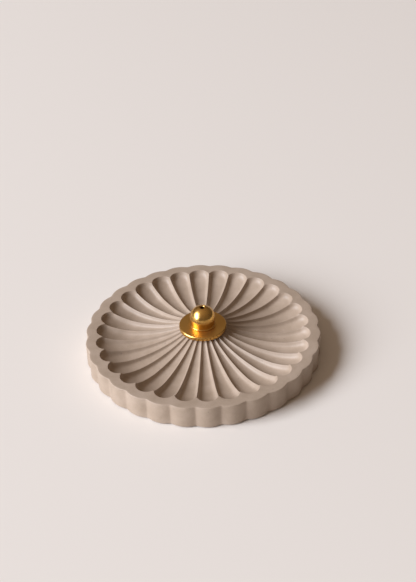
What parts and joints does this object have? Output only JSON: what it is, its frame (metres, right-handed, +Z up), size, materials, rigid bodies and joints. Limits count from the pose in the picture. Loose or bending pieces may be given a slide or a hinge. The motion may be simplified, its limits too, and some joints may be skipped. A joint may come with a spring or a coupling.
{
  "type": "incense stick holder",
  "caption": "Round cast dish with a scalloped wall and a fluted bowl that catches ash, and a lift-out brass dome on its raised hub that holds an incense stick upright.",
  "frame": {"origin": "on the table, under the middle of the dish", "axes": "+Z up, along the stick; one flute points along -Y, towards the front"},
  "size_m": [0.1194, 0.12, 0.0278],
  "materials": {
    "cast_mineral": "matte, as cast",
    "rosette_brass": "turned and polished",
    "holder_brass": "turned and polished",
    "silicone": "matte moulded silicone"
  },
  "bodies": {
    "dish": {"dish": "cast_mineral", "foot_1": "silicone", "foot_2": "silicone", "foot_3": "silicone", "foot_4": "silicone"},
    "rosette": {"rosette": "rosette_brass"},
    "stick_holder": {"stick_holder": "holder_brass"}
  },
  "joints": [
    {"name": "rosette_lift", "type": "slide", "parent": "dish", "child": "rosette", "axis": [0, 0, 1], "range_m": [0, 0.016]},
    {"name": "holder_lift", "type": "slide", "parent": "rosette", "child": "stick_holder", "axis": [0, 0, 1], "range_m": [0, 0.018]}
  ]
}
